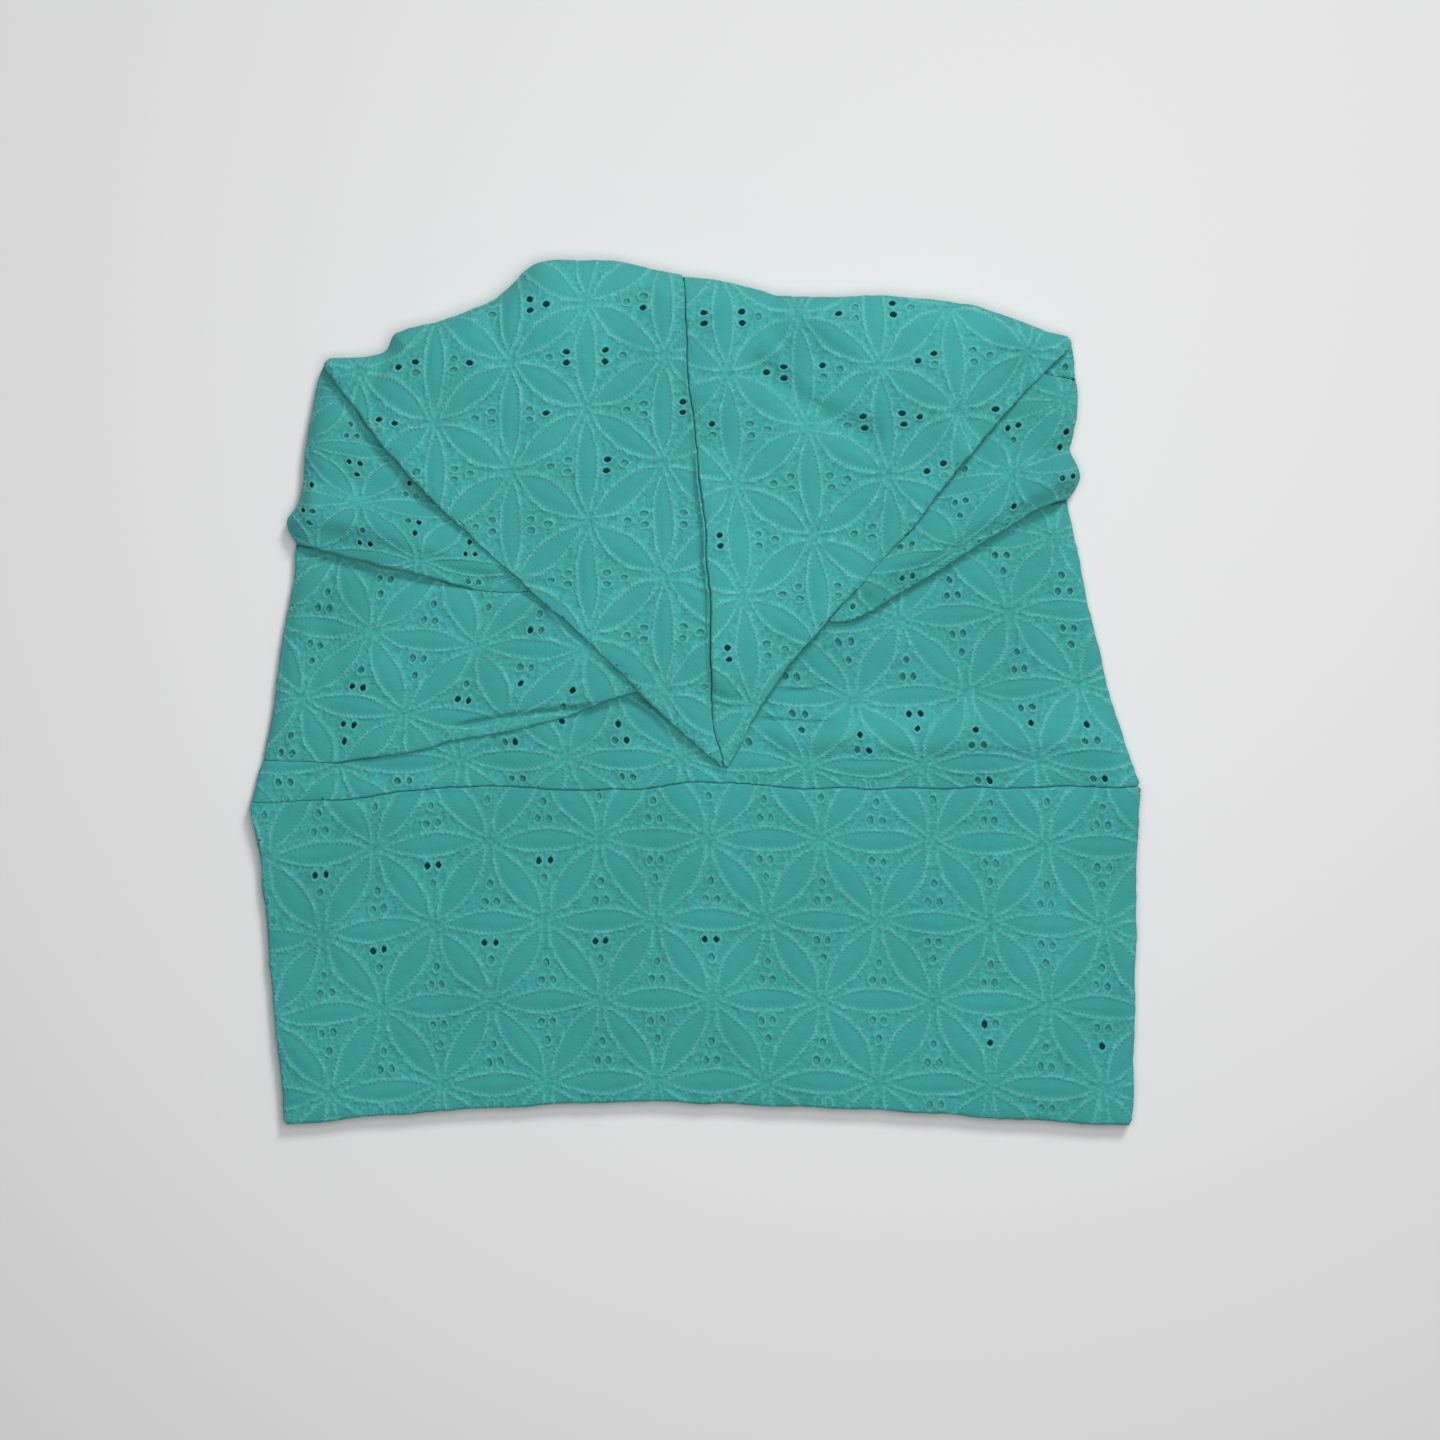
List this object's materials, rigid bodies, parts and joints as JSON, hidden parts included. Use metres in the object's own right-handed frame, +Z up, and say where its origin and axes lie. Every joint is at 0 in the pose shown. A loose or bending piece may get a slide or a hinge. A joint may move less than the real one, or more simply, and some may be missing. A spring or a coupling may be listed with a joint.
{
  "type": "turban cap",
  "caption": "Pull-on turban cap of eyelet jersey, laid flat: deep folded band, tube crown with rolled side folds and a seamed top folded down to a V flap",
  "frame": {"origin": "centre of the bounding box, on the surface the cap lies on", "axes": "+Z up out of the surface, +Y from the head opening to the crown's top, +X to the viewer's right"},
  "size_m": [0.2626, 0.2552, 0.0148],
  "materials": {
    "jersey_band": "matte jersey with raised satin-stitch eyelet embroidery",
    "jersey_crown": "matte jersey with raised satin-stitch eyelet embroidery",
    "jersey_flap": "matte jersey with raised satin-stitch eyelet embroidery",
    "jersey_inside": "matte jersey, plain"
  },
  "bodies": {
    "root": {"band_back": "jersey_inside", "band_front": "jersey_band", "crown_back": "jersey_inside", "crown_front_left": "jersey_crown", "crown_front_lower": "jersey_crown", "crown_left_roll": "jersey_crown", "crown_right_roll": "jersey_crown", "crown_right_tuck": "jersey_crown", "flap_left": "jersey_flap", "flap_right": "jersey_flap", "folded_layers": "jersey_inside"}
  },
  "joints": []
}
